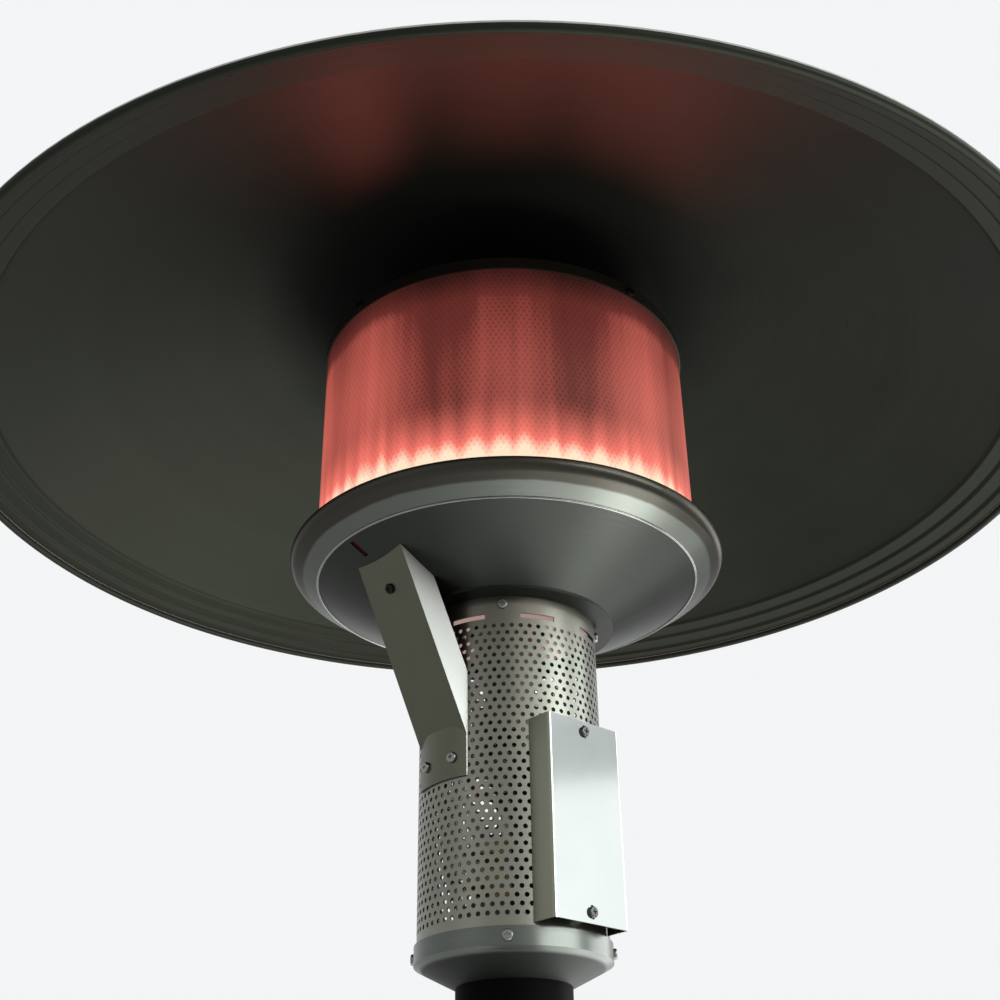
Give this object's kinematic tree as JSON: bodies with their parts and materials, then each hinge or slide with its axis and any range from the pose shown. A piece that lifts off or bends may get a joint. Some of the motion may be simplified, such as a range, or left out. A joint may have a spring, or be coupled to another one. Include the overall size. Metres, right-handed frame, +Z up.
{
  "type": "patio heater head",
  "caption": "Post-mounted gas patio heater head: spun reflector over a glowing screen and burner pan, perforated control housing with a lift-off cover, slanted pilot channel, post end.",
  "frame": {"origin": "centre of the post's lower end", "axes": "+Z up along the post, -Y towards the viewer, +X to the viewer's right"},
  "size_m": [0.864, 0.864, 0.6491],
  "materials": {
    "stainless": "brushed",
    "screws": "zinc plated",
    "reflector_aluminium": "spun, sooted at the centre",
    "pan_steel": "satin",
    "emitter": "heat-tinted mesh",
    "burner_steel": "heat-tinted",
    "post_paint": "satin black powder coat",
    "brass": "machined",
    "gas_pipe": "drawn tube",
    "control_plastic": "moulded",
    "reset_plastic": "moulded",
    "ceramic": "glazed",
    "lead_rubber": "silicone sleeve"
  },
  "bodies": {
    "head": {"base_cup": "pan_steel", "burner_head": "burner_steel", "burner_lid": "burner_steel", "burner_pan": "pan_steel", "burner_riser": "gas_pipe", "burner_tube": "burner_steel", "cap_screws": "screws", "channel_screws": "screws", "control_plate": "stainless", "cover_standoffs": "screws", "emitter_screen": "emitter", "gas_valve": "brass", "housing_screws_lower": "screws", "housing_screws_upper": "screws", "housing_shell": "stainless", "igniter_body": "control_plastic", "igniter_nut": "screws", "ignition_lead": "lead_rubber", "inlet_coupling": "brass", "inlet_nut": "brass", "line_nuts": "brass", "main_orifice": "brass", "neck_collar": "stainless", "pan_bolts": "screws", "pan_nuts": "screws", "pilot_bracket": "stainless", "pilot_burner": "stainless", "pilot_channel": "stainless", "pilot_tube": "gas_pipe", "post_bolts": "screws", "post_tube": "post_paint", "reflector": "reflector_aluminium", "reflector_spacers": "screws", "reflector_studs": "screws", "reflector_washers": "screws", "reflector_wing_nuts": "screws", "screen_cap": "stainless", "screen_ring": "stainless", "screen_screws": "screws", "spark_electrode": "ceramic", "supply_pipe": "gas_pipe", "thermocouple": "stainless"},
    "shutter": {"air_shutter": "burner_steel"},
    "knob": {"control_knob": "control_plastic", "valve_stem": "brass"},
    "reset_button": {"reset_button": "reset_plastic"},
    "igniter_button": {"igniter_button": "control_plastic"},
    "cover": {"control_cover": "stainless", "cover_screws": "screws"}
  },
  "joints": [
    {"name": "air_shutter_turn", "type": "hinge", "parent": "head", "child": "shutter", "pos_m": [0, 0, 0.25], "axis": [0, 0, 1], "range_deg": [0, 45]},
    {"name": "control_knob_turn", "type": "hinge", "parent": "head", "child": "knob", "pos_m": [0.04632, -0.03783, 0.158], "axis": [0.7071, -0.7071, 0], "range_deg": [0, 180]},
    {"name": "reset_button_push", "type": "slide", "parent": "head", "child": "reset_button", "axis": [-0.7071, 0.7071, 0], "range_m": [0, 0.004], "stiffness_N_per_m": 500, "springref_m": -0.002},
    {"name": "igniter_button_push", "type": "slide", "parent": "head", "child": "igniter_button", "axis": [-0.7071, 0.7071, 0], "range_m": [0, 0.006], "stiffness_N_per_m": 1000, "springref_m": -0.003},
    {"name": "control_cover_lift_off", "type": "slide", "parent": "head", "child": "cover", "axis": [0.7071, -0.7071, 0], "range_m": [0, 0.05]}
  ]
}
